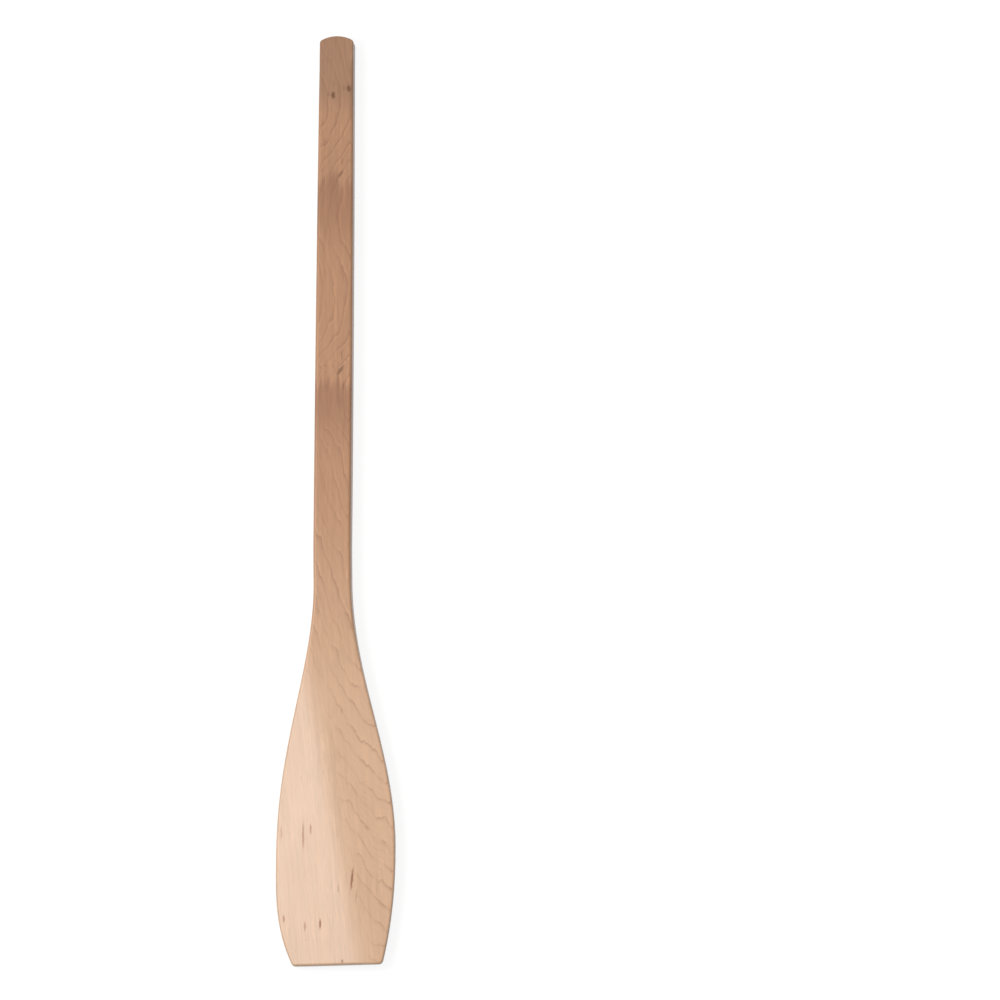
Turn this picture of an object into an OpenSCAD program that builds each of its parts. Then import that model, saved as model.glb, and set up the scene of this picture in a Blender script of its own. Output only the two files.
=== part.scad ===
// Wooden mixing paddle: one plank, sawn to outline, carved thin at the blade and rounded at every edge.
//
// It lies on its back: X across the plank, Y from the tip of the blade to the end of the handle, and
// Z up out of the front face. The origin is under the middle of its box, on the surface it lies on.
// A height along the plank is always a distance from the straight edge of the tip, named s.

/* [Plank] */
// Length of the plank, from the straight edge of the tip to the end of the handle
length = 914.4; // [700:0.1:1200]
// Thickness of the plank, which the whole handle keeps
plank_t = 24; // [20:0.5:32]

/* [Blade outline] */
// Width of the blade at its belly, the widest place
blade_w = 116.4; // [80:0.1:160]
// Where the belly is on the left side
belly_left_s = 84; // [40:1:160]
// Where the belly is on the right side
belly_right_s = 115; // [40:1:160]
// Distance from the blade's middle line to the corner of the tip, on the left
tip_left_w = 42.1; // [25:0.1:70]
// The same distance on the right
tip_right_w = 45.5; // [25:0.1:70]
// How late the left side turns in below the belly, 2 for a round belly and 4 for a square one
tip_left_turn = 2.46; // [1.8:0.01:4]
// The same on the right
tip_right_turn = 2.22; // [1.8:0.01:4]
// How high the left shoulder sits, 1 for an even slope from the belly to the neck
shoulder_left = 1.24; // [0.8:0.01:1.5]
// The same on the right
shoulder_right = 0.97; // [0.8:0.01:1.5]
// Corner of the front face at the tip, on the left, inside the rounded edge
tip_left_r = 0.4; // [0.2:0.1:12]
// The same corner on the right
tip_right_r = 1.4; // [0.2:0.1:12]

/* [Handle outline] */
// Where the shoulders end and the handle begins
neck_s = 376; // [250:1:500]
// Width of the handle at the neck
neck_w = 36.3; // [28:0.1:45]
// Width of the handle at its end
grip_w = 32.7; // [24:0.1:45]
// How late the handle narrows, 1 for an even taper
grip_turn = 2.35; // [1:0.01:4]
// Radius of the shallow arc that closes the handle
end_arc = 31; // [30:1:120]
// Corner of the face at the end of the handle, inside the rounded edge
end_r = 0.3; // [0.2:0.1:6]
// How far the plank has bowed to the left where the bow is deepest
bow = 2.8; // [0:0.1:12]
// Where the bow begins
bow_from = 187; // [0:1:300]
// Where the bow is deepest
bow_at = 413; // [320:1:600]
// How far the plank has come back to the right at the end of the handle
bow_back = 4.75; // [0:0.05:12]

/* [Carving] */
// Thickness of the blade along its ridge at the tip
blade_t = 14; // [12:0.5:20]
// Where the blade begins to thin, on both faces alike
thin_s = 300; // [200:1:340]
// Half the length over which the thinning eases in
thin_soft = 40; // [5:1:60]
// Where the ridge meets the straight edge of the tip, to the right of the middle line
ridge_tip_x = 23.2; // [0:0.1:35]
// How far the ridge leans to the left over each 100 mm towards the handle
ridge_lean = 17.3; // [10:0.1:25]
// Slope of the facet that falls away to the left of the ridge, in degrees
facet_tilt = 6; // [1:0.1:6.5]
// Half the width over which the ridge is rubbed round
ridge_soft = 9; // [2:0.5:15]

/* [Edges] */
// Rounding of the blade's edges
blade_round = 2.1; // [0.5:0.1:3.5]
// Rounding of the handle's edges
handle_round = 3.2; // [0.5:0.1:8]
// Where the rounding begins to grow from the blade's to the handle's
round_from = 240; // [150:1:245]
// Rounding of the edges at the very end of the handle, where the sides meet the end
end_round = 1.6; // [0.5:0.1:8]
// Length over which the handle's rounding becomes that of its end
end_run = 30; // [20:1:80]

/* [Hidden] */

// Values of the left and the right side, in that order
belly_s = [belly_left_s, belly_right_s];
tip_w = [tip_left_w, tip_right_w];
tip_turn = [tip_left_turn, tip_right_turn];
shoulder = [shoulder_left, shoulder_right];
tip_r = [tip_left_r + blade_round, tip_right_r + blade_round];
end_corner = end_r + end_round;
widest_tip_r = max(tip_r);

// Most of the wall that one rounded edge may take
WALL_SHARE = 0.45;

// Fineness of the mesh: rows in each corner, along the blade, the handle and its end, and columns across
CORNER_STEP = 15;
BLADE_ROWS = 34;
HANDLE_ROWS = 14;
END_ROWS = 3;
COLUMNS = 15;
EDGE_STEP = 30;

function mix(a, b, t) = a + (b - a) * t;
function clamp01(t) = min(1, max(0, t));
function ease(t) = let (c = clamp01(t)) c * c * (3 - 2 * c);
function unit(v) = v / norm(v);

// A ramp of slope 1 above zero whose foot is a parabola of half-width h
function soft_ramp(v, h) = v <= -h ? 0 : v >= h ? v : pow(v + h, 2) / (4 * h);

// How far a corner of radius r draws the side in, at distance d from the end
function corner_cut(d, r) = d < r ? r - sqrt(max(0, r * r - pow(r - d, 2))) : 0;

// Half-width of the plank on one side, before its corners
function below_belly(s, k) =
    blade_w / 2 - (blade_w / 2 - tip_w[k]) * pow(1 - s / belly_s[k], tip_turn[k]);
function shoulder_slope(s, k) =
    let (t = pow((s - belly_s[k]) / (neck_s - belly_s[k]), shoulder[k]))
    mix(blade_w / 2, neck_w / 2, (1 - cos(180 * t)) / 2);
function along_handle(s) =
    mix(neck_w / 2, grip_w / 2, pow((s - neck_s) / (length - neck_s), grip_turn));
function side_w(s, k) =
    s < belly_s[k] ? below_belly(s, k) : s < neck_s ? shoulder_slope(s, k) : along_handle(s);

// Half-width with the corners of the tip and of the handle's end
function half_w(s, k) = side_w(s, k) - corner_cut(s, tip_r[k]) - corner_cut(length - s, end_corner);

// Middle line of the plank: straight in the blade, bowed left at the neck, back to the right above it
function middle_x(s) =
    bow_back * clamp01((s - bow_at) / (length - bow_at)) - bow * ease((s - bow_from) / (bow_at - bow_from));

// Drop of the end arc at x, which the sides share over the last stretch of the handle
function end_drop(x, s) =
    let (from_middle = x - middle_x(length), run = 2 * end_arc, share = ease((s - length + run) / run))
    share == 0 ? 0 : share * (end_arc - sqrt(pow(end_arc, 2) - pow(from_middle, 2)));

// A point of the outline, at height s and at the share u of the width from left to right
function outline_point(s, u) =
    let (x = middle_x(s) + mix(-half_w(s, 0), half_w(s, 1), u)) [x, s - end_drop(x, s)];

// Rows of points, close together in the corners
fan = [for (a = [0:CORNER_STEP:89]) 1 - cos(a)];
blade_run = (neck_s - widest_tip_r) / BLADE_ROWS;
handle_run = (length - end_run - neck_s) / HANDLE_ROWS;
end_step = (end_run - end_corner) / END_ROWS;
stations = concat(
    [for (f = fan) widest_tip_r * f],
    [for (i = [0:BLADE_ROWS - 1]) widest_tip_r + i * blade_run],
    [for (i = [0:HANDLE_ROWS - 1]) neck_s + i * handle_run],
    [for (i = [0:END_ROWS - 1]) length - end_run + i * end_step],
    [for (i = [0:len(fan) - 1]) length - end_corner * (1 - cos(90 - i * CORNER_STEP))],
    [length]
);
rows = len(stations);
last_row = rows - 1;
last_column = COLUMNS - 1;

// The rim, once round: up the left side, over the end, down the right side and back along the tip
rim_cells = concat(
    [for (i = [0:last_row]) [i, 0]],
    [for (j = [1:last_column]) [last_row, j]],
    [for (i = [last_row - 1:-1:0]) [i, last_column]],
    [for (j = [last_column - 1:-1:1]) [0, j]]
);
rim_count = len(rim_cells);
rim = [for (c = rim_cells) outline_point(stations[c[0]], c[1] / last_column)];
function rim_at(k) = rim[(k + rim_count) % rim_count];
rim_out = [for (k = [0:rim_count - 1]) let (d = rim_at(k + 1) - rim_at(k - 1)) unit([-d[1], d[0]])];

// Thickness along the ridge, and the ridge's distance to the right of a point on the front face
function plank_thick(s) =
    plank_t - (plank_t - blade_t) * soft_ramp(thin_s - s, thin_soft) / thin_s;
ridge_angle = atan(ridge_lean / 100);
function to_ridge(x, s) = (ridge_tip_x - s * ridge_lean / 100 - x) * cos(ridge_angle);
function facet_drop(x, s) = tan(facet_tilt) * soft_ramp(to_ridge(x, s), ridge_soft);

// Heights of the two faces. The back is the front turned half round about the plank's middle line.
function front_z(p) = (plank_t + plank_thick(p[1])) / 2 - facet_drop(p[0], p[1]);
function back_z(p) = (plank_t - plank_thick(p[1])) / 2 + facet_drop(-p[0], p[1]);
function wall(p) = front_z(p) - back_z(p);

// Rounding that is wanted at height s: the blade's, then the handle's, then that of its end
function wanted_round(s) =
    let (grown = mix(blade_round, handle_round, ease((s - round_from) / (neck_s - round_from))))
    mix(grown, end_round, ease((s - length + end_run) / (end_run / 2)));

// Radius of the rounded edge at a point of the rim, never more than its share of the wall
function edge_r(p) = min(wanted_round(p[1]), WALL_SHARE * wall(p));
rim_r = [for (p = rim) edge_r(p)];

// A point of the rounded edge, at an angle from 0 on the wall to 90 on the face
function inset(k, a) = rim[k] - rim_out[k] * rim_r[k] * (1 - cos(a));
function front_edge(k, a) = let (p = inset(k, a)) [p[0], p[1], front_z(p) - rim_r[k] * (1 - sin(a))];
function back_edge(k, a) = let (p = inset(k, a)) [p[0], p[1], back_z(p) + rim_r[k] * (1 - sin(a))];

// Grid of face points inside the rounded edges: its border is on the rim, the rest lies between
function rim_index(i, j) =
    j == 0 ? i
    : i == last_row ? last_row + j
    : j == last_column ? 2 * last_row + last_column - i
    : i == 0 ? rim_count - j
    : -1;
function grid_point(i, j) =
    let (k = rim_index(i, j))
    k >= 0 ? inset(k, 90)
    : mix(inset(rim_index(i, 0), 90), inset(rim_index(i, last_column), 90), j / last_column);
grid = [for (i = [0:last_row], j = [0:last_column]) grid_point(i, j)];
grid_count = rows * COLUMNS;

// Layers of the rim between the two faces, from the front down
front_angles = [for (a = [90 - EDGE_STEP:-EDGE_STEP:0]) a];
back_angles = [for (a = [0:EDGE_STEP:90 - EDGE_STEP]) a];
front_layers = len(front_angles);
layers = front_layers + len(back_angles);

points = concat(
    [for (p = grid) [p[0], p[1], front_z(p)]],
    [for (p = grid) [p[0], p[1], back_z(p)]],
    [for (a = front_angles, k = [0:rim_count - 1]) front_edge(k, a)],
    [for (a = back_angles, k = [0:rim_count - 1]) back_edge(k, a)]
);

function cell(i, j) = i * COLUMNS + j;
function rim_cell(k) = let (c = rim_cells[k % rim_count]) cell(c[0], c[1]);
function layer_point(l, k) =
    l == 0 ? rim_cell(k)
    : l == layers + 1 ? grid_count + rim_cell(k)
    : 2 * grid_count + (l - 1) * rim_count + k % rim_count;

// Each quad is cut along the diagonal that the ridge of its face follows
front_faces = [
    for (i = [0:last_row - 1], j = [0:last_column - 1])
    let (a = cell(i, j), b = a + 1, c = cell(i + 1, j + 1), d = c - 1)
    each [[a, d, b], [d, c, b]]
];
back_faces = [
    for (i = [0:last_row - 1], j = [0:last_column - 1])
    let (a = grid_count + cell(i, j), b = a + 1, c = grid_count + cell(i + 1, j + 1), d = c - 1)
    each [[a, b, c], [a, c, d]]
];
edge_faces = [
    for (l = [0:layers], k = [0:rim_count - 1])
    let (a = layer_point(l, k), b = layer_point(l + 1, k))
    let (c = layer_point(l + 1, k + 1), d = layer_point(l, k + 1))
    each [[a, b, c], [a, c, d]]
];

// Middle of the outline's box, which goes over the origin
rim_x = [for (p = rim) p[0]];
rim_y = [for (p = rim) p[1]];
middle = [(min(rim_x) + max(rim_x)) / 2, (min(rim_y) + max(rim_y)) / 2, 0];

// The carved form, blade and handle in one
module carving() {
    translate(-middle)
    polyhedron(points, concat(front_faces, back_faces, edge_faces), convexity = 4);
}

// The planed plank that it is carved from, long and wide enough to hold it: the handle keeps both its faces
module planed_plank() {
    translate([-blade_w, -length, 0])
    cube([2 * blade_w, 2 * length, plank_t]);
}

module paddle() {
    color([0.80, 0.63, 0.50])
    intersection() {
        carving();
        planed_plank();
    }
}

paddle();
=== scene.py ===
# %% [markdown]
# # A mixing paddle, carved from one plank
#
# The real thing is a single plank of pale maple, 36 inches long. A handle with lightly rounded edges
# widens through sloped shoulders into a thin blade. The front of the blade has two facets that meet in a
# slanting ridge, and the left one, which falls away, catches the light. The CAD model gives the plank its
# real size; this script gives it a finer skin of the same shape, its wood, and the light of a plain studio.

# %% Load the frame
import math

import bpy
from mathutils import Matrix, Vector


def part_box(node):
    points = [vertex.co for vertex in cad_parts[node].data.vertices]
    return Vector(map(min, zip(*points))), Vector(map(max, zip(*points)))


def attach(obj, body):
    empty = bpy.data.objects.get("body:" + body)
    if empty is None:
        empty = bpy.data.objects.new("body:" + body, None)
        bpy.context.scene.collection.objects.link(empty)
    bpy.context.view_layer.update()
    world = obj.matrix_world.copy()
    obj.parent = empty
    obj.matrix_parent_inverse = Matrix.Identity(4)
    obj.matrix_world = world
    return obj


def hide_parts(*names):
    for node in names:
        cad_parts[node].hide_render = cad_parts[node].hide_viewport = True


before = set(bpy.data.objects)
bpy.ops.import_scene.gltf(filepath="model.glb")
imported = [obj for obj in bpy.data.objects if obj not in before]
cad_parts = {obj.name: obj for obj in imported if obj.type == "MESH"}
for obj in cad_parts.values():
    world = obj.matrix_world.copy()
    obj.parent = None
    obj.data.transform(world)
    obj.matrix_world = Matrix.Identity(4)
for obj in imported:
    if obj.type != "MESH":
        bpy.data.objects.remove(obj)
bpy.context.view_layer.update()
low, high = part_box("paddle")
MM = 0.001
LENGTH = (high[1] - low[1]) / MM
BLADE_W = (high[0] - low[0]) / MM
PLANK_T = (high[2] - low[2]) / MM
print(f"plank: {LENGTH:.1f} mm long, blade {BLADE_W:.1f} mm wide, {PLANK_T:.1f} mm thick")

# %% [markdown]
# ## The camera
#
# The photograph looks down on the paddle with a long lens. It isn't quite square to it: the thin dark lines
# along the right-hand side and under the tip are the plank's own edges, seen in shade, and no such line
# shows on the left or at the top. So the camera hangs far off, and leans a few degrees to the right and ten
# towards the tip. Its own axes are worked out one by one, so that the plank stays upright in the picture,
# but for the tenth of a degree by which it hangs out of plumb. The paddle lies left of the middle, and the
# camera aims past it, which needs no lens shift.

# %% The camera
PICTURE_MM = 970.2          # side of the square picture, measured in the plane of the plank's front
AIM = Vector((161.1, -4.8, 24.0)) * MM
CAMERA_AWAY = 18.0          # metres from there
LEAN_RIGHT = math.radians(4.5)
LEAN_DOWN = math.radians(10.0)
ROLL = math.radians(-0.1)

camera_data = bpy.data.cameras.new("camera")
camera_data.sensor_width = 36.0
camera_data.lens = camera_data.sensor_width * CAMERA_AWAY / (PICTURE_MM * MM)
camera = bpy.data.objects.new("camera", camera_data)
backwards = Vector((math.tan(LEAN_RIGHT), -math.tan(LEAN_DOWN), 1.0)).normalized()
rightwards = Vector((0.0, 1.0, 0.0)).cross(backwards).normalized()
upwards = backwards.cross(rightwards)
turn = Matrix((rightwards, upwards, backwards)).transposed().to_4x4() @ Matrix.Rotation(ROLL, 4, "Z")
camera.matrix_world = Matrix.Translation(AIM + backwards * CAMERA_AWAY) @ turn
bpy.context.scene.collection.objects.link(camera)
bpy.context.scene.camera = camera
print(f"camera: {camera_data.lens:.0f} mm lens, {CAMERA_AWAY:.0f} m from the plank")

# %% [markdown]
# ## Sums on sockets
#
# The plank's shape and its wood are both formulas, and a node tree writes a formula as one Math node for
# each sign. That is hard to read, so a small class lets Python write them: it wraps a socket, and each
# operator on it adds the node and wraps the result. A second class wraps the tree and adds any other node.
# The same two serve the Geometry Nodes of the shape and the shader of the wood.

# %% Sockets as values
class Tree:
    """A node tree that grows by one node at a time."""

    def __init__(self, tree):
        self.tree = tree

    def add(self, kind, settings=None, values=None, out=0):
        """Adds a node, sets it, fills or links its sockets and returns one of its outputs."""
        node = self.tree.nodes.new(kind)
        for name, value in (settings or {}).items():
            if name == "stops":
                set_stops(node.color_ramp, value)
            else:
                setattr(node, name, value)
        for key, value in (values or {}).items():
            socket = node.inputs[key]
            if isinstance(value, Wire):
                self.tree.links.new(value.socket, socket)
            else:
                socket.default_value = value
        return Wire(self, node.outputs[out])

    def math(self, operation, *values):
        return self.add("ShaderNodeMath", {"operation": operation}, dict(enumerate(values)))


def set_stops(ramp, stops):
    """Gives a colour ramp its stops, each a place from 0 to 1 and a colour."""
    while len(ramp.elements) < len(stops):
        ramp.elements.new(0.5)
    for element, (place, colour) in zip(ramp.elements, stops):
        element.position = place
        element.color = colour


class Wire:
    """A socket that can stand in a sum."""

    def __init__(self, net, socket):
        self.net = net
        self.socket = socket

    def __add__(self, other):
        return self.net.math("ADD", self, other)

    def __sub__(self, other):
        return self.net.math("SUBTRACT", self, other)

    def __rsub__(self, other):
        return self.net.math("SUBTRACT", other, self)

    def __mul__(self, other):
        return self.net.math("MULTIPLY", self, other)

    def __truediv__(self, other):
        return self.net.math("DIVIDE", self, other)

    def __rtruediv__(self, other):
        return self.net.math("DIVIDE", other, self)

    def __pow__(self, other):
        return self.net.math("POWER", self, other)

    def __neg__(self):
        return self * -1.0

    __radd__ = __add__
    __rmul__ = __mul__


def least(a, b):
    return a.net.math("MINIMUM", a, b)


def most(a, b):
    return a.net.math("MAXIMUM", a, b)


def root(a):
    return a.net.math("SQRT", a)


def mix(a, b, share):
    return a + (b - a) * share


def share_of(value, start, end):
    """How far value has come from start to end, held between 0 and 1."""
    return least(most((value - start) / (end - start), 0.0), 1.0)


def ease(value, start, end):
    """The same, but starting and stopping gently."""
    t = share_of(value, start, end)
    return t * t * (3.0 - 2.0 * t)


print("sums on sockets are ready")

# %% [markdown]
# ## The plank's sizes
#
# These are the sizes that a maker would mark out on the plank, in millimetres, with every height measured
# from the straight edge of the tip. They are the CAD model's, so the skin lies where its solid is. The two
# sides aren't quite alike, as on anything cut by hand, so each has its own.

# %% Sizes of the plank
SIZES = {
    "Length": LENGTH,
    "Blade width": BLADE_W,
    "Plank thickness": PLANK_T,
    "Belly left": 84.0,
    "Belly right": 115.0,
    "Tip left": 42.1,
    "Tip right": 45.5,
    "Tip turn left": 2.46,
    "Tip turn right": 2.22,
    "Shoulder left": 1.24,
    "Shoulder right": 0.97,
    "Neck": 376.0,
    "Neck width": 36.3,
    "Grip width": 32.7,
    "Grip turn": 2.35,
    "Bow": 2.8,
    "Bow from": 187.0,
    "Bow at": 413.0,
    "Bow back": 4.75,
    "End arc": 31.0,
    "Blade thickness": 14.0,
    "Thin from": 300.0,
    "Thin softness": 40.0,
    "Ridge at tip": 23.2,
    "Ridge lean": 0.173,
    "Facet tilt": 6.0,
    "Ridge softness": 9.0,
    "Blade rounding": 2.1,
    "Handle rounding": 3.2,
    "Rounding from": 240.0,
    "End rounding": 1.6,
    "End run": 30.0,
    "Corner left": 2.5,
    "Corner right": 3.5,
    "Corner end": 1.9,
}
print(f"{len(SIZES)} named sizes")

# %% [markdown]
# ## The outline
#
# A side of the plank is three curves added up: below the belly it turns in towards the tip by a power,
# above it half a cosine wave takes it down to the neck, and along the handle it narrows a little more. Each
# term is zero where it has nothing to say, so one sum covers the whole length without a branch.

# %% Outline
def pick(is_left, left, right):
    return mix(right, left, is_left)


def side_width(net, size, s, is_left):
    """Distance from the middle line to one side, at height s."""
    belly = pick(is_left, size["Belly left"], size["Belly right"])
    tip = pick(is_left, size["Tip left"], size["Tip right"])
    turn = pick(is_left, size["Tip turn left"], size["Tip turn right"])
    rise = pick(is_left, size["Shoulder left"], size["Shoulder right"])
    full = size["Blade width"] * 0.5
    neck = size["Neck width"] * 0.5
    below = (full - tip) * most(1.0 - s / belly, 0.0) ** turn
    wave = share_of(s, belly, size["Neck"]) ** rise
    above = (full - neck) * (1.0 - net.math("COSINE", wave * math.pi)) * 0.5
    narrowed = share_of(s, size["Neck"], size["Length"]) ** size["Grip turn"]
    return full - below - above - (neck - size["Grip width"] * 0.5) * narrowed


def middle_line(size, s):
    """The plank has bowed a few millimetres to the left at the neck and comes back along the handle."""
    out = size["Bow"] * ease(s, size["Bow from"], size["Bow at"])
    return size["Bow back"] * share_of(s, size["Bow at"], size["Length"]) - out


# %% [markdown]
# ## The two faces
#
# The handle keeps the plank's thickness and the blade thins towards the tip, on both faces alike. On the
# front, everything left of the slanting ridge falls away at a few degrees. A ramp with a rounded foot does
# both: it is zero, then a short parabola, then a straight slope. The back is the front turned half round.

# %% Faces
def soft_ramp(value, softness):
    """Zero, then a parabola from -softness to softness, then a slope of 1."""
    foot = most(least(value, softness) + softness, 0.0)
    return foot * foot / (softness * 4.0) + most(value - softness, 0.0)


def facet_drop(net, size, x, s):
    """How far the facet left of the ridge has fallen at a point."""
    lean = size["Ridge lean"]
    away = (size["Ridge at tip"] - s * lean - x) / root(lean * lean + 1.0)
    tilt = net.math("TANGENT", size["Facet tilt"] * (math.pi / 180.0))
    return tilt * soft_ramp(away, size["Ridge softness"])


def faces(net, size, x, s):
    """Heights of the front and the back above the floor."""
    gone = (size["Plank thickness"] - size["Blade thickness"]) / size["Thin from"]
    thin = gone * soft_ramp(size["Thin from"] - s, size["Thin softness"]) * 0.5
    front = size["Plank thickness"] - thin - facet_drop(net, size, x, s)
    back = thin + facet_drop(net, size, -x, s)
    return front, back


# %% [markdown]
# ## From a block to the plank
#
# The tree starts from a subdivided block, whose six sides are the plank's two faces, two long edges and two
# ends. Each point of the block knows how many cells it is from the nearest side, end and face. Those counts
# become distances in millimetres, with small cells near the edges, where the shape turns quickly.

# %% Cells to distances
CELLS = {"across": 48, "along": 400, "through": 16}
EDGE_CELLS = {"across": 6, "along": 16, "through": 6}   # how many of them belong to each edge
EDGE_REACH_ACROSS = 3.4   # how far these reach in from a long edge, in mm
EDGE_REACH_ALONG = 8.0    # and from an end
CELL_GROWTH = 1.3         # above 1, they grow away from the edge


def inward(net, part, way, reach, middle):
    """Distance from the nearest side of the block. The edge's cells cover reach, the others the rest."""
    half = CELLS[way] / 2
    count = (1.0 - net.math("ABSOLUTE", part)) * half
    edge = least(count / EDGE_CELLS[way], 1.0) ** CELL_GROWTH
    rest = most(count - EDGE_CELLS[way], 0.0) / (half - EDGE_CELLS[way])
    return reach * edge + (middle - reach) * rest


# %% [markdown]
# Rounding an edge is the same step in the plan and in the thickness. A point in the square corner between
# two sides is pulled back onto the arc that touches both, along the line to the arc's centre. In the plan
# this is done on rings around the corner, so a small rounding can follow a corner of a larger radius.

# %% Rounding an edge
def rounded(depth, inset, radius):
    """Pulls a point on a square edge back onto its rounding. Both distances are from the square's sides."""
    a = most(radius - inset, 0.0)
    b = most(radius - depth, 0.0)
    scale = radius / root(a * a + b * b)
    return most(depth, radius) - b * scale, most(inset, radius) - a * scale


def round_corner(side, end, inset, radius):
    """Bends the square rings around a corner of the plan into round ones, at their new inset."""
    a = most(radius - side, 0.0)
    b = most(radius - end, 0.0)
    scale = (radius - inset) / most(root(a * a + b * b), 1e-6)
    return most(side, radius) - a * scale, most(end, radius) - b * scale


# %% [markdown]
# Nothing sanded by hand is quite true. One slow noise takes up to a fifth of a millimetre off the front, and
# another makes the rounding of the edges tighter in places. Neither moves a side of the plank outwards, so
# the skin never stands outside the CAD model's box.

# %% Wear
def slow_noise(net, place, scale, seed):
    """A smooth noise from 0 to 1, with features about 1 / scale across in the units of place."""
    moved = net.add("ShaderNodeVectorMath", {"operation": "ADD"}, {0: place, 1: (seed, seed, seed)})
    values = {"Vector": moved, "Scale": scale, "Detail": 1.0, "Roughness": 0.4}
    return net.add("ShaderNodeTexNoise", {"noise_dimensions": "3D"}, values)


# %% [markdown]
# ## The tree of the plank
#
# The tree is written in three steps. The first makes the block and says where each of its points is. The
# second carves: it works out the edges, the outline and the two faces at each point. The third writes down
# two masks for the wood, one for painted shade near the edges and one for the sawn ends' end grain and
# painted shade, and dresses the mesh.

# %% The block
class Block:
    """The block's mesh, and for each of its points the place and the sides that it is nearest to."""

    def __init__(self, net):
        counts = {"Size": (2, 2, 2)}
        counts["Vertices X"] = CELLS["across"] + 1
        counts["Vertices Y"] = CELLS["along"] + 1
        counts["Vertices Z"] = CELLS["through"] + 1
        self.mesh = net.add("GeometryNodeMeshCube", values=counts)
        self.here = net.add("GeometryNodeInputPosition")
        split = [net.add("ShaderNodeSeparateXYZ", values={0: self.here}, out=i) for i in range(3)]
        self.across, self.along, self.through = split
        self.is_left = net.math("LESS_THAN", self.across, 0.0)
        self.is_tip = net.math("LESS_THAN", self.along, 0.0)
        self.is_front = net.math("GREATER_THAN", self.through, 0.0)


# %% Rounding along the plank, and the arc of its end
def wanted_rounding(size, s):
    """The blade's rounding, which grows to the handle's, and shrinks again at the end of the handle."""
    grown = ease(s, size["Rounding from"], size["Neck"])
    radius = mix(size["Blade rounding"], size["Handle rounding"], grown)
    near_end = ease(s, size["Length"] - size["End run"], size["Length"] - size["End run"] * 0.5)
    return mix(radius, size["End rounding"], near_end)


def end_drop(net, size, x, s):
    """How far the shallow arc that closes the handle has dropped at a point."""
    from_middle = x - (size["Bow back"] - size["Bow"])
    arc = size["End arc"]
    drop = arc - root(most(arc * arc - from_middle * from_middle, 0.0))
    return drop * ease(s, size["Length"] - arc * 2.0, size["Length"])


# %% Carve each point of the block
def both_widths(net, size, s):
    """Distances from the middle line to the left and the right side, at height s."""
    return [side_width(net, size, s, is_left) for is_left in (1.0, 0.0)]


def place_across(size, block, s, widths, side):
    """Where a point lies across the plank, at height s and at a distance from its nearer side."""
    left, right = widths
    return middle_line(size, s) + pick(block.is_left, side - left, right - side)


def carve(net, size, block):
    """Returns the carved place of each point, and its masks for painted shade near an edge and for end grain
    with painted shade.
    """
    half_length = size["Length"] * 0.5
    end = inward(net, block.along, "along", EDGE_REACH_ALONG, half_length)
    s = pick(block.is_tip, end, size["Length"] - end)
    widths = both_widths(net, size, s)
    side = inward(net, block.across, "across", EDGE_REACH_ACROSS, (widths[0] + widths[1]) * 0.5)
    x = place_across(size, block, s, widths, side)
    front, back = faces(net, size, x, s)
    radius = wanted_rounding(size, s) * (1.0 - size["Edge wear"] * slow_noise(net, block.here, 9.0, 3.0))
    depth = inward(net, block.through, "through", radius, (front - back) * 0.5)

    depth, inset = rounded(depth, least(side, end), radius)
    # The sawn ends: darker end grain, with painted shade on top.
    sawn_end_and_shade = 1.0 - ease(end, 0.1, 0.9)
    tip_corner = pick(block.is_left, size["Corner left"], size["Corner right"])
    side, end = round_corner(side, end, inset, pick(block.is_tip, tip_corner, size["Corner end"]))

    s = pick(block.is_tip, end, size["Length"] - end)
    x = place_across(size, block, s, both_widths(net, size, s), side)
    y = s - end_drop(net, size, x, s)
    front, back = faces(net, size, x, y)
    place = net.add("ShaderNodeCombineXYZ", values={0: x, 1: y, 2: 0.0})
    worn = size["Face wear"] * slow_noise(net, place, 0.021, 17.0)
    z = pick(block.is_front, front - depth - worn, back + depth)
    values = {0: x * MM, 1: (y - half_length) * MM, 2: z * MM}
    # Painted shade along the rounded edges: this mask darkens the wood's colour there.
    near_edge = 1.0 - ease(inset, radius * 0.2, radius + 2.5)
    return net.add("ShaderNodeCombineXYZ", values=values), near_edge, sawn_end_and_shade * ease(side, 0.0, 2.0)


# %% The whole tree
def plank_tree(material, names):
    """Builds the Geometry Nodes tree and returns it with the identifiers of its inputs."""
    tree = bpy.data.node_groups.new("carved plank", "GeometryNodeTree")
    tree.interface.new_socket("Geometry", in_out="OUTPUT", socket_type="NodeSocketGeometry")
    inputs = {}
    for name in names:
        item = tree.interface.new_socket(name, in_out="INPUT", socket_type="NodeSocketFloat")
        inputs[name] = item.identifier
    net = Tree(tree)
    entry = tree.nodes.new("NodeGroupInput")
    size = {name: Wire(net, entry.outputs[name]) for name in names}

    block = Block(net)
    place, near_edge, end_grain = carve(net, size, block)
    shaped = net.add("GeometryNodeSetPosition", values={"Geometry": block.mesh, "Position": place})
    per_point = {"data_type": "FLOAT", "domain": "POINT"}
    # Stores the masks of painted shade along the edges and of the sawn ends' end grain and painted shade.
    for name, value in (("near_edge", near_edge), ("end_grain", end_grain)):
        stored = {"Geometry": shaped, "Name": name, "Value": value}
        shaped = net.add("GeometryNodeStoreNamedAttribute", per_point, stored)
    smooth = net.add("GeometryNodeSetShadeSmooth", values={"Geometry": shaped})
    single = net.add("GeometryNodeRealizeInstances", values={"Geometry": smooth})
    dressed = net.add("GeometryNodeSetMaterial", values={"Geometry": single, "Material": material})
    leave = tree.nodes.new("NodeGroupOutput")
    tree.links.new(dressed.socket, leave.inputs[0])
    return tree, inputs


# %% [markdown]
# ## The wood
#
# Wood isn't a pattern printed on a surface: rings and fibres run through the plank, and each face shows the
# cut. So the shader builds a solid of maple in object space. The rings are the whole numbers of a smooth
# field. It rises across and along the plank and quickly through its thickness, so the flat facet cuts it in
# wide slanting lines, and the long edges cut it in close ones.

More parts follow.
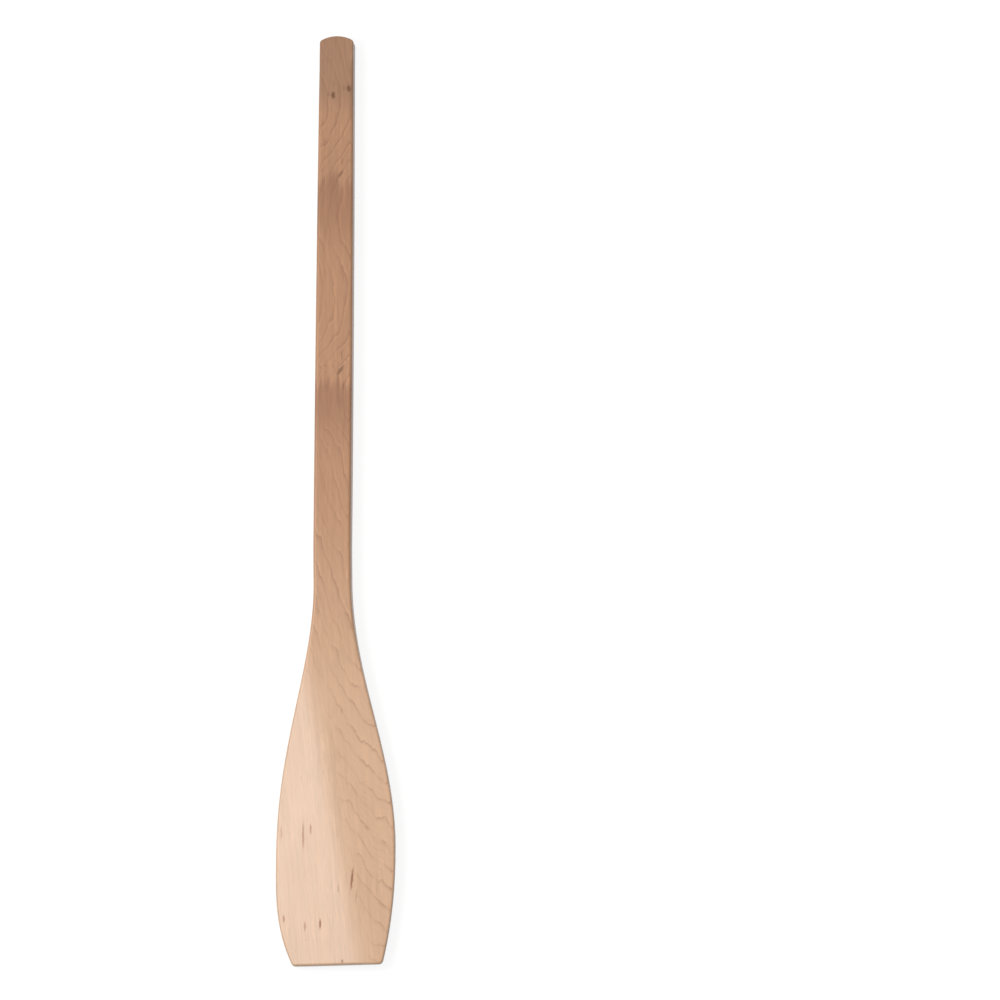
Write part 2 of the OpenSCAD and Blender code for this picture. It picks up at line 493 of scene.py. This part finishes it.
# %% Colours of maple
def tone(red, green, blue):
    """A colour as a chart gives it, 0 to 255, turned into the linear light that a shader needs."""
    return tuple(((v / 255 + 0.055) / 1.055) ** 2.4 for v in (red, green, blue)) + (1.0,)


PALE = tone(210, 169, 135)
# The paler, cooler tone of the facet left of the ridge is painted sheen.
PALE_PAINTED_SHEEN = tone(210, 173, 142)
TAN = tone(182, 134, 99)
RED_BROWN = tone(146, 98, 68)
GREY_BROWN = tone(150, 112, 86)
RING = tone(136, 88, 60)
FLECK = tone(138, 82, 52)
KNOT = tone(112, 74, 44)
# Dark tone for painted shade along the edges, and for the sawn ends: end grain and painted shade.
END_GRAIN_AND_SHADE_TONE = tone(98, 68, 48)


# %% [markdown]
# The field of the rings is a sum of plain terms. Across the plank it climbs steadily. Along the plank it
# climbs in the blade and the lower handle, and in the upper handle it rises and dips as the grain does, so
# the lines lean one way, stand upright and lean the other way. A soft noise makes every line wander.

# %% Rings
RING_ACROSS = 0.080              # rings per mm across the plank, at the middle line
RING_ACROSS_FADE = 0.00045       # fewer to the right of it and more to the left
RING_ALONG = 0.0395              # rings per mm along the blade
RING_ALONG_FADES = ((290.0, 0.0115), (540.0, 0.040))   # from each height on, this many fewer
RING_DEPTH = 0.55                # rings per mm through the thickness
WAVE_LENGTH = 194.0              # the grain of the handle rises and dips once in this length
WAVE_HEIGHT = 1.39               # by this many rings to either side
WAVE_AT = 697.0                  # height at which it rises through its middle
WAVE_COMES_IN = (480.0, 590.0)   # heights between which it grows to that


def ramp_from(value, start):
    """Zero up to start, then as much as value has risen since."""
    return most(value - start, 0.0)


def noise(net, x, s, z, wide, long, detail=2.0, rough=0.5, seed=0.0):
    """A noise whose features are wide by long millimetres."""
    scaled = {0: x * (1 / wide) + seed, 1: s * (1 / long), 2: z * (1 / wide)}
    place = net.add("ShaderNodeCombineXYZ", values=scaled)
    values = {"Vector": place, "Scale": 1.0, "Detail": detail, "Roughness": rough}
    return net.add("ShaderNodeTexNoise", values=values)


def ring_field(net, x, s, z):
    """Counts the growth rings at a point of the wood."""
    wander = (noise(net, x, s, z, 17.0, 52.0, 1.0, 0.5) - 0.5) * 1.4
    stagger = (noise(net, x, s, z, 4.5, 14.0, 2.0, 0.6, 41.0) - 0.5) * 0.45
    across = x * RING_ACROSS - x * x * RING_ACROSS_FADE
    along = s * RING_ALONG
    for start, fewer in RING_ALONG_FADES:
        along = along - ramp_from(s, start) * fewer
    wave = net.math("SINE", (s - WAVE_AT) * (2 * math.pi / WAVE_LENGTH)) * ease(s, *WAVE_COMES_IN)
    return across + along + wave * WAVE_HEIGHT + z * RING_DEPTH + wander + stagger


def ring_lines(net, field, x, s):
    """Dark lines where one ring ends, a slow rise and a sharp fall, and the pale lines that follow them."""
    part = net.math("FRACT", field)
    after = 1.0 - ease(part, 0.03, 0.26)
    line = ease(part, 0.72, 0.95) ** 2.0 * (1.0 - ease(part, 0.955, 1.0)) + part * part * 0.12
    part = net.math("FRACT", field * 3.0 + 0.4)
    weak = ease(part, 0.4, 0.9) ** 2.0 * (1.0 - ease(part, 0.9, 1.0))
    strong = ease(noise(net, x, s, field * 2.0, 15.0, 60.0, 1.0, 0.5, 5.0), 0.32, 0.62)
    return line * (strong * 0.85 + 0.15) + weak * (1.0 - strong) * 0.25, after * strong


# %% [markdown]
# Between the rings maple is nearly even. What the eye reads as its grain is a multitude of fine fibres in
# line with the plank, broader pale and dark streaks, and short brown dashes, which are the tracks of an
# insect under the bark that the tree has grown over. All are noises, stretched along the fibres.

# %% Fibres, streaks and flecks
FIBRE_LEAN = 0.09      # the fibres lean this much to the left for each unit up the blade


def chance_flecks(net, x, s, z):
    """A sparse scatter of short dark dashes."""
    fine = noise(net, x, s, z, 1.3, 11.0, 1.0, 0.4, 31.0)
    rare = noise(net, x, s, z, 16.0, 40.0, 1.0, 0.4, 57.0)
    return ease(fine, 0.70, 0.80) * ease(rare, 0.45, 0.65)


# %% [markdown]
# Some marks of this plank are plain enough to place one by one: the longest dashes on the blade, and on the
# handle two pin knots near the end and two more that lie aslant, with a few specks around them. Each is a
# soft ellipse with its own height, half-width, half-length, lean and darkness.

# %% Marks placed one by one
MARKS = [
    # across, height, half-width, half-length, lean, darkness
    (16.5, 83.0, 1.4, 14.0, -0.10, 0.85),
    (20.5, 66.0, 0.8, 8.0, -0.12, 0.35),
    (3.0, 74.0, 0.9, 5.5, 0.0, 0.30),
    (-14.8, 40.0, 1.3, 6.0, 0.0, 0.80),
    (-29.6, 38.0, 1.3, 6.0, 0.0, 0.45),
    (-50.4, 46.0, 1.3, 5.0, 0.0, 0.50),
    (-52.6, 130.0, 1.0, 7.5, 0.0, 0.30),
    (-31.2, 126.0, 1.2, 17.0, 0.0, 0.50),
    (-23.8, 133.0, 1.1, 7.0, 0.0, 0.45),
    (6.7, 3.0, 1.2, 2.4, 0.0, 0.70),
]
KNOTS = [
    (5.6, 583.0, 2.6, 5.8, -0.55, 0.75),
    (6.9, 598.0, 1.5, 6.5, 0.0, 0.35),
    (8.4, 567.0, 1.3, 5.0, 0.1, 0.30),
    (-14.0, 586.0, 1.2, 2.0, 0.0, 0.35),
    (-8.5, 587.5, 1.2, 1.8, 0.0, 0.30),
    (-1.5, 587.0, 1.2, 2.0, 0.0, 0.30),
    (5.8, 777.0, 2.3, 4.6, -0.6, 0.60),
    (7.6, 790.0, 1.4, 5.0, -0.2, 0.30),
    (-12.0, 781.0, 1.2, 2.0, 0.0, 0.25),
    (-5.8, 856.5, 1.2, 3.2, 0.0, 0.30),
    (9.4, 862.5, 1.2, 3.0, 0.0, 0.30),
    (-1.3, 855.6, 2.7, 4.6, 0.05, 0.95),
    (14.0, 862.0, 2.6, 4.4, 0.05, 0.95),
]


def placed_marks(net, x, s, z, wobble, marks):
    """Darkness of the listed marks, on the front face only."""
    total = None
    for across, height, wide, long, lean, dark in marks:
        up = s - height
        a = (x - across + up * lean + wobble) / wide
        b = up / long
        spot = (1.0 - ease(root(a * a + b * b), 0.35, 1.1)) * dark
        total = spot if total is None else most(total, spot)
    return total * ease(z, 6.0, 9.0)


# %% [markdown]
# Every mark is now worked out at once for a point of the wood. The blade and the handle differ: on the
# blade the fibres lean, the rings keep to the right of the ridge, and the facet left of it gets painted
# sheen: a paler, cooler tone and livelier fibres.

# %% All that shows at a point of the wood
BLADE_END = (250.0, 350.0)     # heights between which the blade's wood gives way to the handle's
LEAN_END = 380.0               # above this height the fibres run straight up
PAINTED_SHEEN_EDGE = (-8.0, 22.0)       # where the facet with painted sheen ends, in mm to the right of the ridge
RINGS_CLEAR = (0.0, 34.0)      # where the rings come in
RINGS_WEAKEN = (230.0, 300.0)  # heights between which they lose a third of their strength


class Grain:
    """The strength of each kind of mark at a point of the wood."""

    def __init__(self, net):
        place = net.add("ShaderNodeTexCoord", out=3)
        x, y, z = [net.add("ShaderNodeSeparateXYZ", values={0: place}, out=i) * (1 / MM) for i in range(3)]
        s = y + LENGTH / 2
        leaning = x + least(s, LEAN_END) * FIBRE_LEAN
        from_ridge = x + s * SIZES["Ridge lean"] - SIZES["Ridge at tip"]
        self.height = s
        self.on_blade = 1.0 - ease(s, *BLADE_END)
        # The facet left of the ridge, where sheen is painted into the colour and the fibres.
        self.painted_sheen = (1.0 - ease(from_ridge, *PAINTED_SHEEN_EDGE)) * self.on_blade

        self.field = ring_field(net, x, s, z)
        clear = mix(1.0, ease(from_ridge, *RINGS_CLEAR), self.on_blade)
        dark_lines, pale_lines = ring_lines(net, self.field, x, s)
        self.rings = dark_lines * clear * (1.0 - ease(s, *RINGS_WEAKEN) * 0.35)
        self.partners = pale_lines * clear * (1.0 - self.on_blade * 0.6)

        self.fibres = noise(net, leaning, s, z, 0.9, 30.0, 3.0, 0.6)
        self.strokes = noise(net, leaning, s, z, 2.1, 22.0, 2.0, 0.55, 83.0)
        self.clusters = ease(noise(net, leaning, s, z, 9.0, 28.0, 1.0, 0.5, 47.0), 0.35, 0.65)
        self.streaks = noise(net, leaning, s, z, 4.0, 120.0, 3.0, 0.6, 11.0)
        self.mottle = noise(net, x, s, z, 30.0, 55.0, 2.0, 0.5, 23.0)
        self.dashes = chance_flecks(net, leaning, s, z)

        wobble = (noise(net, x, s, z, 1.6, 2.4, 1.0, 0.5, 71.0) - 0.5) * 1.6
        self.marks = placed_marks(net, x, s, z, wobble, MARKS)
        self.knots = placed_marks(net, x, s, z, wobble, KNOTS)
        # Painted shade along the rounded edges.
        self.near_edge = net.add("ShaderNodeAttribute", {"attribute_name": "near_edge"}, out=2)
        # The sawn ends: rougher end grain, and darker partly as painted shade.
        self.end_grain = net.add("ShaderNodeAttribute", {"attribute_name": "end_grain"}, out=2)


# %% [markdown]
# Colours go on as a finisher's washes would, one thin layer over another. The pale blade turns into the tan
# handle, two stretches of the handle are red-brown with a sharper top than foot, and it grows greyer and
# darker towards its end, partly in its own tone and partly as painted shade.
# Rings, flecks and knots follow. Then the fibres make all of it lighter and darker, and last the edges are
# darkened a little with painted shade, and the sawn ends a lot, partly because end grain is darker and
# partly as painted shade.

# %% Colour of the wood
TAN_FROM = (200.0, 500.0)       # heights between which the blade's colour turns into the handle's
RED_TOPS = (770.0, 572.0)       # heights of the upper edges of the red-brown stretches
RED_TOP_SOFTNESS = 7.0
RED_FADE = (85.0, 15.0)         # how far below its upper edge a stretch begins and is full
HANDLE_GREY_AND_SHADE = (560.0, 850.0)        # heights between which the handle greys a little, partly as painted shade
END_GREY_AND_SHADE = (832.0, 862.0)       # and its end a good deal more, partly as painted shade


def colour_mix(net, a, b, share, blend="MIX"):
    """Mixes two colours, either of which may be plain."""
    settings = {"data_type": "RGBA", "blend_type": blend}
    return net.add("ShaderNodeMix", settings, {0: share, 6: a, 7: b}, out=2)


def red_stretches(s, ragged):
    """How red-brown the handle is. The streaks make both edges of each stretch ragged."""
    total = 0.0
    for top in RED_TOPS:
        below_top = ease(s + ragged * 0.7, top + RED_TOP_SOFTNESS, top - RED_TOP_SOFTNESS)
        total = below_top * ease(s + ragged, top - RED_FADE[0], top - RED_FADE[1]) + total
    return total


def lightness(net, grain, red):
    """How much lighter or darker than its colour the wood is, around 1."""
    fine = (grain.fibres - 0.5) * 0.26 + (grain.strokes - 0.5) * (grain.clusters * 0.55)
    fine = fine + (grain.streaks - 0.5) * 0.34
    # Painted sheen: the fibres show more strongly on the facet left of the ridge.
    liveliness = 0.75 + grain.painted_sheen * 0.35 - grain.on_blade * 0.2
    ripple = net.math("SINE", grain.field * (4 * math.pi) + 1.0) * (1.0 - grain.on_blade)
    light = 1.0 + fine * liveliness + (grain.streaks - 0.5) * (red * 0.3) + (grain.mottle - 0.5) * 0.14
    return light + (ripple * 0.018 + grain.partners * 0.055)


def wood_colour(net, grain):
    """Lays each tint over the last one."""
    s = grain.height
    ragged = (grain.streaks - 0.5) * 70.0 + (grain.mottle - 0.5) * 30.0
    red = red_stretches(s, ragged)
    # The handle darkens towards its end: partly its own tone, partly painted shade where the light falls
    # off.
    grey_and_shade = ease(s, *HANDLE_GREY_AND_SHADE) * 0.15 + ease(s + ragged * 0.3, *END_GREY_AND_SHADE) * 0.5
    # Painted sheen: the facet left of the ridge is painted paler and cooler.
    colour = colour_mix(net, PALE, PALE_PAINTED_SHEEN, grain.painted_sheen)
    colour = colour_mix(net, colour, TAN, ease(s, *TAN_FROM))
    colour = colour_mix(net, colour, RED_BROWN, red * 0.56)
    colour = colour_mix(net, colour, GREY_BROWN, grey_and_shade)
    colour = colour_mix(net, colour, RING, grain.rings * (0.52 - grain.on_blade * 0.12))
    colour = colour_mix(net, colour, FLECK, grain.dashes * 0.45)
    colour = colour_mix(net, colour, FLECK, grain.marks)
    colour = colour_mix(net, colour, KNOT, grain.knots)
    light = lightness(net, grain, red)
    light_grey = net.add("ShaderNodeCombineColor", values={0: light, 1: light, 2: light})
    colour = colour_mix(net, colour, light_grey, 1.0, "MULTIPLY")
    # Painted shade along the rounded edges; on the sawn ends darker end grain and painted shade.
    cut = most(grain.near_edge * grain.near_edge * 0.14, grain.end_grain * 0.85)
    return colour_mix(net, colour, END_GRAIN_AND_SHADE_TONE, cut)


# %% [markdown]
# Sanded maple has a satin sheen. The fibres stand up a little, which breaks the sheen into fine lines, and
# the flecks and rings lie a little lower. The sawn ends are rougher.

# %% The material of the plank
SHEEN = 0.33              # roughness of the wood between its marks
BUMP_MM = 0.12
BUMP_STRENGTH = 0.25


def wood_surface(net, grain):
    """Roughness and bump of the wood."""
    fibres = grain.fibres - 0.5
    strokes = grain.strokes - 0.5
    height = fibres * 0.9 + strokes * 0.3 - grain.rings * 0.25 - grain.marks * 0.8
    values = {"Strength": BUMP_STRENGTH, "Distance": BUMP_MM * MM, "Height": height}
    bump = net.add("ShaderNodeBump", values=values)
    roughness = SHEEN + fibres * 0.12 + strokes * 0.08 + grain.marks * 0.25 + grain.end_grain * 0.25
    return roughness, bump


def maple():
    """Bare maple, sanded smooth."""
    material = bpy.data.materials.new("maple")
    material.use_nodes = True
    net = Tree(material.node_tree)
    grain = Grain(net)
    colour = wood_colour(net, grain)
    roughness, bump = wood_surface(net, grain)
    shader = material.node_tree.nodes["Principled BSDF"]
    shader.inputs["IOR"].default_value = 1.5
    for name, wire in (("Base Color", colour), ("Roughness", roughness), ("Normal", bump)):
        material.node_tree.links.new(wire.socket, shader.inputs[name])
    return material


wood = maple()
print(f"maple: {len(wood.node_tree.nodes)} nodes")

# %% [markdown]
# ## Making the plank
#
# The tree runs as a modifier on an empty mesh. Its inputs are set by their identifiers before it is first
# evaluated. The evaluated result is copied into a plain mesh, which is what the frame and the export want.

# %% Grow the plank
FACE_WEAR = 0.18   # most that sanding has taken off a face, in mm
EDGE_WEAR = 0.30   # most that it has tightened an edge's rounding, as a share

all_sizes = {**SIZES, "Face wear": FACE_WEAR, "Edge wear": EDGE_WEAR}
tree, inputs = plank_tree(wood, all_sizes)
seed_mesh = bpy.data.meshes.new("seed")
grower = bpy.data.objects.new("grower", seed_mesh)
bpy.context.scene.collection.objects.link(grower)
modifier = grower.modifiers.new("carve", "NODES")
modifier.node_group = tree
for name, value in all_sizes.items():
    modifier[inputs[name]] = float(value)
bpy.context.view_layer.update()
evaluated = grower.evaluated_get(bpy.context.evaluated_depsgraph_get())
plank_mesh = bpy.data.meshes.new_from_object(evaluated)
plank_mesh.name = "paddle_wood"
bpy.data.objects.remove(grower)
plank = bpy.data.objects.new("paddle_wood", plank_mesh)
bpy.context.scene.collection.objects.link(plank)
corners = [v.co for v in plank_mesh.vertices]
spans = [(max(c[i] for c in corners) - min(c[i] for c in corners)) / MM for i in range(3)]
print(f"plank: {len(plank_mesh.polygons)} faces, {[round(span, 2) for span in spans]} mm")

# %% Tie it to the frame
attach(plank, "root")
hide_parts("paddle")
print(f"{plank.name} rides on the root and stands for the CAD paddle")

# %% [markdown]
# ## Floor, light and air
#
# The photograph is a cut-out on white with hardly a shadow. A white surround gives a soft light, stronger
# from the upper left, so that the edges on the right and at the tip lie in shade. One soft lamp on the left
# stands where the tilted facet mirrors it towards the camera and the flat wood doesn't. The floor is lifted
# to white for the camera and for reflections, and keeps a trace of the shadow around the plank.

# %% Which rays see the bright background
def seen_directly(net):
    """1 for rays from the camera or a reflection, 0 for those that gather light for the wood."""
    rays = ("Is Camera Ray", "Is Glossy Ray", "Is Transmission Ray")
    camera_ray, glossy_ray, clear_ray = [net.add("ShaderNodeLightPath", out=name) for name in rays]
    return most(most(camera_ray, glossy_ray), clear_ray)


# %% Floor
FLOOR_REACH = 6.0    # half of its side, in metres
FLOOR_TONE = 0.18    # the light that it gives back, in which the shadow shows
FLOOR_LIFT = 0.87    # the light added for the camera and for reflections

floor_mesh = bpy.data.meshes.new("floor")
floor_corners = [(x, y, 0.0) for x, y in ((-1, -1), (1, -1), (1, 1), (-1, 1))]
floor_corners = [Vector(c) * FLOOR_REACH for c in floor_corners]
floor_mesh.from_pydata(floor_corners, [], [(0, 1, 2, 3)])
floor = bpy.data.objects.new("floor", floor_mesh)
bpy.context.scene.collection.objects.link(floor)
floor_material = bpy.data.materials.new("floor_white")
floor_material.use_nodes = True
nodes = floor_material.node_tree.nodes
nodes.remove(nodes["Principled BSDF"])
net = Tree(floor_material.node_tree)
plain = net.add("ShaderNodeBsdfDiffuse", values={"Color": (FLOOR_TONE, FLOOR_TONE, FLOOR_TONE, 1.0)})
glow = {"Color": (1.0, 1.0, 1.0, 1.0), "Strength": seen_directly(net) * FLOOR_LIFT}
lift = net.add("ShaderNodeEmission", values=glow)
both = net.add("ShaderNodeAddShader", values={0: plain, 1: lift})
floor_material.node_tree.links.new(both.socket, nodes["Material Output"].inputs["Surface"])
floor_mesh.materials.append(floor_material)
print(f"floor: {2 * FLOOR_REACH:.0f} m square")

# %% Air
AIR_LIGHT = 0.67     # strength of the white surround, where 1 is white
AIR_LEAN = (-0.62, 0.60, 0.0)   # how much stronger the light is from each side

world = bpy.data.worlds.new("air")
world.use_nodes = True
bpy.context.scene.world = world
nodes = world.node_tree.nodes
net = Tree(world.node_tree)
direction = net.add("ShaderNodeTexCoord")
pair = {0: direction, 1: AIR_LEAN}
lean = net.add("ShaderNodeVectorMath", {"operation": "DOT_PRODUCT"}, pair, out="Value")
strength = mix((lean + 1.0) * AIR_LIGHT, 1.0, seen_directly(net))
world.node_tree.links.new(strength.socket, nodes["Background"].inputs["Strength"])
nodes["Background"].inputs["Color"].default_value = (1.0, 1.0, 1.0, 1.0)
print(f"air: {AIR_LIGHT:.2f} of white on the wood, more from the upper left")

# %% Lamp
LAMP_AIM = Vector((-0.02, -0.33, 0.02))      # the middle of the blade
LAMP_TOWARDS = Vector((-0.41, 0.12, 0.91))   # the lamp's direction from there
LAMP_AWAY = 2.5                              # and its distance, in metres
LAMP_SIDE = 0.75
LAMP_RADIANCE = 13.5

lamp_data = bpy.data.lights.new("soft lamp", "AREA")
lamp_data.shape = "SQUARE"
lamp_data.size = LAMP_SIDE
lamp_data.energy = LAMP_RADIANCE * LAMP_SIDE ** 2 * math.pi
lamp = bpy.data.objects.new("soft lamp", lamp_data)
lamp.location = LAMP_AIM + LAMP_TOWARDS.normalized() * LAMP_AWAY
lamp.rotation_mode = "QUATERNION"
lamp.rotation_quaternion = (-LAMP_TOWARDS).to_track_quat("-Z", "Y")
bpy.context.scene.collection.objects.link(lamp)
print(f"lamp: {lamp_data.energy:.1f} W, {LAMP_AWAY:.2f} m from the blade")

bpy.context.scene.view_settings.view_transform = "Standard"
